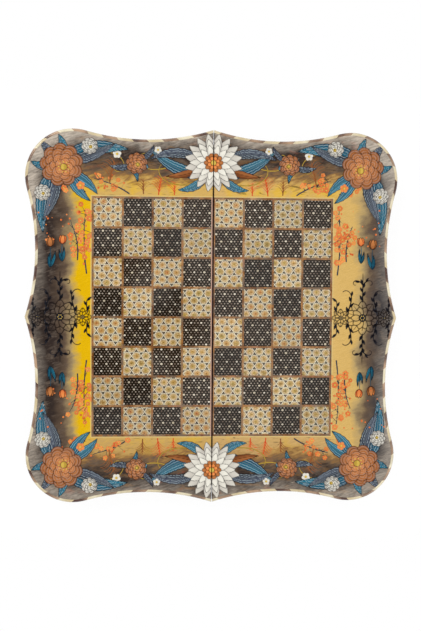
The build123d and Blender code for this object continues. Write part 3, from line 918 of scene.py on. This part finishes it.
def painted(name, glow, glint, deep, spread):
    """Smoky brown ground, gold near the field, with the ornament's colours and lines on it."""
    finish = Finish(name, **LACQUER)
    x, y, _ = finish.place()

    def kept(label):
        return finish.node("Attribute", {"attribute_name": f"paint_{label}"}, output=2)

    rim = kept("rim")
    slanted = y - x * 0.3
    streak = finish.noise(x / 30.0, slanted / 8.0, detail=5.0, rough=0.62, warp=0.5)
    brush = finish.noise(x / 9.0, slanted / 2.2, 3.0, detail=4.0, rough=0.7)
    cloud = finish.noise(x / 38.0, y / 38.0, 7.0, detail=4.0)
    soft = finish.noise(x / 17.0, y / 12.0, 15.0, detail=3.0, warp=0.4)
    grain = finish.noise(x / 0.9, y / 0.9, 5.0, detail=1.0)

    beside = x.abs() - FIELD_END
    beyond = y.abs() - FIELD_HALF
    field = beside.most(beyond)
    at_side = (beside - beyond).between(-12.0, 14.0)
    at_end = 1.0 - at_side
    bottom = y.below(-FIELD_HALF, 40.0)
    bright = finish.mix(cloud.between(0.47, 0.6), colour(214, 174, 104), colour(230, 184, 56))
    gold = finish.over(
        bright,
        (bottom * at_end * 0.6, colour(184, 146, 100)),
        (at_side, glow),
        (brush.between(0.35, 0.7) * 0.3, glint),
    )

    ragged = (streak - 0.5) * (at_end * 34.0 + 14.0) + (brush - 0.5) * (at_end * 18.0 + 4.0)
    worn = field + ragged + (cloud - 0.5) * 40.0 - at_side * spread
    far = worn.between(24.0, 54.0)
    smoke = (soft * 0.6 + brush * 0.4).between(0.5, 0.64)
    ochre = finish.noise(x / 24.0, y / 6.0, 11.0, detail=4.0).between(0.54, 0.68)
    rust_mist = finish.noise(x / 22.0, y / 12.0, 51.0, detail=2.0).between(0.6, 0.74)
    dark_stroke = finish.noise(x / 14.0, y / 2.6, 21.0, detail=3.0, warp=0.8).between(0.6, 0.7)
    pale_stroke = finish.noise(x / 11.0, y / 1.8, 31.0, detail=3.0, warp=0.8).between(0.66, 0.76)
    side_middle = at_side * y.abs().below(110.0, 70.0)
    corner = x.abs().least(y.abs()).between(130.0, 200.0)
    mist = (rim + (cloud - 0.5) * 34.0 + (soft - 0.5) * 16.0 - corner * 14.0).below(5.0, 20.0)
    torn = (streak * 0.5 + brush * 0.5).between(0.4, 0.58) * 0.6 + 0.45
    ground = finish.over(
        gold,
        (worn.between(14.0, 27.0), finish.mix(at_side, colour(160, 118, 66), colour(182, 158, 112))),
        (worn.between(23.0, 37.0), colour(112, 92, 74)),
        (worn.between(33.0, 52.0), finish.mix(at_side, colour(60, 50, 45), deep)),
        (smoke * far * 0.6, colour(132, 116, 102)),
        (ochre * far * at_end * 0.6, colour(150, 108, 60)),
        (rust_mist * far * at_end * 0.55, colour(168, 84, 54)),
        (dark_stroke * (at_end * 0.5 + 0.1), colour(44, 36, 32)),
        (pale_stroke * far * (at_end * 0.45 + 0.1), colour(190, 178, 156)),
        (mist * torn * (0.95 - side_middle * 0.55 - bottom * 0.36), colour(206, 193, 177)),
    )
    ground = finish.tint(ground, grain * (at_side * 0.3 + 0.22) + brush * 0.22 + 0.77 - at_side * 0.15)
    spray = grain.between(0.56, 0.7) * worn.between(8.0, 30.0)
    picture = finish.over(
        ground,
        (spray * at_side * 0.4, colour(48, 40, 34)),
        (field.below(1.3, 0.3) * 0.8, colour(226, 200, 132)),
        # Dark along the seam: stained edges, and painted shade of the deep seam gap
        (x.abs().below(1.2, 0.5) * 0.8, colour(40, 26, 20)),
    )

    paints = {
        "rust": (colour(92, 44, 22), colour(222, 142, 82)),
        "teal": (colour(4, 42, 72), colour(52, 140, 164)),
        "white": (colour(168, 158, 150), colour(250, 246, 232)),
        "slate": (colour(16, 16, 20), colour(98, 106, 126)),
        "orange": (colour(206, 62, 28), colour(255, 168, 92)),
        "gold": (colour(150, 112, 28), colour(240, 206, 96)),
    }
    lightness = (kept("tone") + (brush - 0.5) * 0.35).clamp()
    for layer, (dark, light) in paints.items():
        paint = finish.mix(lightness, dark, light)
        picture = finish.mix(kept(layer).below(0.0, 0.3), picture, paint)
    picture = finish.over(
        picture,
        (kept("pale") * 0.7, colour(206, 222, 226)),
        (kept("dark").between(0.2, 0.75) * 0.88, colour(24, 18, 16)),
    )
    return finish.surface(picture, grain * 0.2 + 0.34, brush * 0.6 + kept("dark") * 0.4, 0.03)


# Finishes of the frame's own pieces


def clothe(node, material):
    """Gives a piece of the frame its finish."""
    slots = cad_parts[node].data.materials
    slots.clear()
    slots.append(material)


walnut = [(58, 34, 22), (96, 60, 38), (126, 84, 54)]
burl = [(104, 62, 30), (150, 98, 52), (188, 134, 78)]
polished = brass("polished_brass")

# Pieces of each half that share a finish
finishes = {
    "hinge_rail outer_rail": grain_wood("walnut_along_seam", walnut, along="y"),
    "north_rail south_rail": grain_wood("walnut_across_seam", walnut),
    "base_panel": ply("plywood"),
    "light_squares": light_inlay("light_star_inlay"),
    "dark_squares": dark_inlay("dark_dot_inlay"),
    "row_strips column_strips": strip_wood("orange_brown_strips"),
    "light_banding": banding_wood("cream_lozenges", (242, 232, 202), (218, 198, 156), (170, 154, 124)),
    "dark_banding": banding_wood("brown_lozenges", (198, 164, 134), (84, 60, 54), (116, 102, 92)),
    "playing_floor": grain_wood("burl_floor", burl, (9.0, 4.0, 4.0), "y", 0.7, Coat_Weight=0.4),
    "light_points": light_inlay("light_star_points", 9.0, 6.9, False),
    "dark_points": dark_inlay("dark_dot_points", by_square=False),
    "hinge_screws": polished,
}
for half in HALVES:
    for pieces, material in finishes.items():
        for piece in pieces.split():
            clothe(f"{half}_{piece}", material)
for end in ("north", "south"):
    for fitting in ("hinge_left_leaf", "hinge_right_leaf", "hinge_pin", "hook_plate", "hook_pivot",
                    "hook", "stud_plate", "stud"):
        clothe(f"{end}_{fitting}", polished)

glows = {
    "left": (colour(236, 186, 6), colour(240, 198, 30), colour(56, 46, 42), 0.0),
    "right": (colour(222, 182, 104), colour(236, 200, 134), colour(72, 68, 68), 14.0),
}
for half, side in HALVES.items():
    sheet = painted_sheet(half, side)
    sheet.data.materials.append(painted(f"{half}_paint", *glows[half]))


# Floor, background and light

RAYS_SHOWN = ("Is Camera Ray", "Is Glossy Ray", "Is Transmission Ray")  # rays that see the background
FLOOR_REACH = 6.0  # in metres, either way from the middle
FLOOR_GAP = 0.2  # below the board
FLOOR_SHARE = 0.14  # how much of the floor's own shade shows beside the board, before the white behind
FLOOR_FADE = (6.0, 60.0)  # from the board's edge, where the floor's shade fades out
# The dark strip under the seam is a painted shadow, standing for the shade inside the seam gap
SEAM_SHADOW_HALF_WIDTH = 1.5  # half width of the dark strip under the seam


def pale_floor():
    """A white floor just under the board, on which its shadow falls.

    Only what the camera or a mirror sees of its upper side counts. Most of that is clear, and all of it
    away from the board, so that the half that folds under the floor shows, and the inside of the trays
    from below. Along the seam it is dark and not clear.
    """
    low, _ = cad_box
    height = low.z - FLOOR_GAP * MM
    corners = [(x * FLOOR_REACH, y * FLOOR_REACH, height) for x, y in ((-1, -1), (1, -1), (1, 1), (-1, 1))]
    mesh = bpy.data.meshes.new("floor")
    mesh.from_pydata(corners, [], [(0, 1, 2, 3)])
    finish = Finish("floor_white", Roughness=0.9, Specular_IOR_Level=0.0, Emission_Strength=0.36)
    x, y, _ = finish.place()
    outside = x.abs().most(y.abs()) - BOARD_HALF
    # Painted shadow: a dark, opaque strip under the seam, so the gap looks shaded
    seam_painted_shadow = x.abs().below(SEAM_SHADOW_HALF_WIDTH, 0.6) * y.abs().below(BOARD_HALF - WAIST_DEPTH, 2.0)
    rays = [finish.node("LightPath", output=name) for name in RAYS_SHOWN]
    shown = rays[0].most(rays[1]).most(rays[2])
    upper_side = 1.0 - finish.node("NewGeometry", output="Backfacing")
    share = (1.0 - outside.between(*FLOOR_FADE)) * FLOOR_SHARE
    finish.fill(finish.shader, {
        "Alpha": seam_painted_shadow.most(share) * shown * upper_side,
        "Emission Color": finish.mix(seam_painted_shadow, colour(255, 255, 255), colour(0, 0, 0)),
        "Base Color": finish.mix(seam_painted_shadow, colour(246, 246, 246), colour(34, 16, 10)),
    })
    mesh.materials.append(finish.material)
    add_object("floor", mesh)


WORLD_LEVEL = 0.62  # what the surroundings give as light
CEILING_LEVEL = 0.02  # what the dark ceiling gives in reflections
CEILING_RISE = (0.80, 0.95)  # rise of the directions between which the ceiling fades in
PANEL_EDGE = 0.008  # how soft a panel's edge is
GAP_EDGE = 3 * PANEL_EDGE  # how soft the edge of the gap in the light is

# Ceiling light, as slopes from straight above: a panel's middle, half width, half length, turn, strength
SOFTBOX = (0.0585, -0.0396, 0.144, 0.143, 0, 0.7)
SMALL_PANELS = (
    (-0.014, -0.008, 0.022, 0.024, 38, 0.8),
    (-0.004, -0.096, 0.014, 0.016, 20, 0.7),
    (-0.175, 0.055, 0.024, 0.105, 8, 0.4),
)
LIGHT_GAP = (-0.043, -0.053, 0.093)  # middle and radius of the dark round gap in the soft light


def panel_share(right, ahead, panel):
    """How much of a panel of the ceiling light shows in a direction."""
    middle_x, middle_y, half_width, half_length, turn, strength = panel
    x_off = right - middle_x
    y_off = ahead - middle_y
    angle = radians(turn)
    aside = x_off * cos(angle) + y_off * sin(angle)
    onward = y_off * cos(angle) - x_off * sin(angle)
    across = (half_width - aside.abs()).between(0.0, PANEL_EDGE)
    along = (half_length - onward.abs()).between(0.0, PANEL_EDGE)
    return across * along * strength


def studio_world():
    """White to the camera and in reflections, but straight above a dark ceiling with a soft light."""
    world = bpy.data.worlds.new("studio")
    bpy.context.scene.world = world
    world.use_nodes = True
    sky = Nodes(world.node_tree)
    seen, glossy, clear = [sky.node("LightPath", output=name) for name in RAYS_SHOWN]
    mirrored = glossy.most(clear)
    x, y, z = sky.parts("XYZ", sky.node("TexCoord", output="Generated"))
    rise = z.most(0.05)  # the ceiling is all above this, and nothing is divided by 0
    right = x / rise
    ahead = y / rise
    gap_x, gap_y, gap_radius = LIGHT_GAP
    gap_right = right - gap_x
    gap_ahead = ahead - gap_y
    from_gap = (gap_right * gap_right + gap_ahead * gap_ahead).math("SQRT")
    lit = panel_share(right, ahead, SOFTBOX) * (1.0 - from_gap.below(gap_radius, GAP_EDGE))
    for panel in SMALL_PANELS:
        lit = lit.most(panel_share(right, ahead, panel))
    ceiling = z.between(*CEILING_RISE)
    reflected = (1.0 - ceiling) + ceiling * (lit + CEILING_LEVEL)
    level = seen + (1.0 - seen) * (mirrored * reflected + (1.0 - mirrored) * WORLD_LEVEL)
    sky.fill(sky.tree.nodes["Background"], {"Strength": level, "Color": (1, 1, 1, 1)})


def lamp(name, place, size, power):
    """A square soft lamp that points at the middle of the board."""
    data = bpy.data.lights.new(name, "AREA")
    data.shape = "SQUARE"
    data.size = size
    data.energy = power
    holder = add_object(name, data)
    holder.location = place
    x, y, z = place
    holder.rotation_euler = (atan2(hypot(x, y), z), 0, atan2(-y, -x) - pi / 2)


pale_floor()
studio_world()
lamp("key", (-1.3, 1.5, 1.9), 1.2, 26)
lamp("fill", (1.6, -1.2, 1.7), 1.6, 16)
